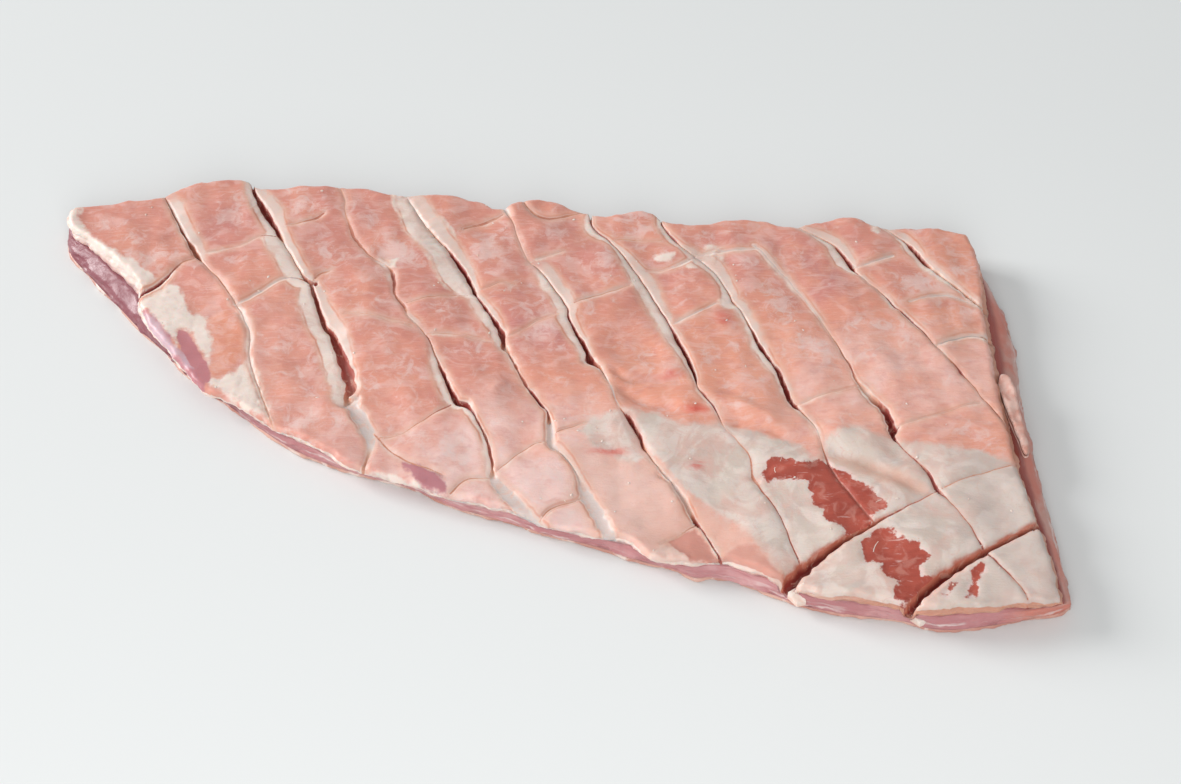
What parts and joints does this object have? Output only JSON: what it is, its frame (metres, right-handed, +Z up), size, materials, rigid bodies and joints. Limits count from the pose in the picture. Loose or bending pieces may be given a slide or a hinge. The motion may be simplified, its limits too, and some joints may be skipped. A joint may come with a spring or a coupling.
{
  "type": "lamb breast",
  "caption": "Flat raw boned lamb breast, fat side up, its fat cover scored in a diamond pattern over a layer of lean and a thin lining.",
  "frame": {"origin": "on the floor, under the middle of the piece's box", "axes": "+X along the length towards the wide straight-cut end, +Y towards the back long edge, +Z up through the fat side"},
  "size_m": [0.4218, 0.2345, 0.0193],
  "materials": {
    "fat_cover": "moist raw fat and thin membrane, salmon to cream",
    "lean": "moist raw lean, mauve to dark red",
    "lining": "moist thin lining, pinkish brown"
  },
  "bodies": {
    "root": {"fat_cover": "fat_cover", "lean": "lean", "lining": "lining"}
  },
  "joints": []
}
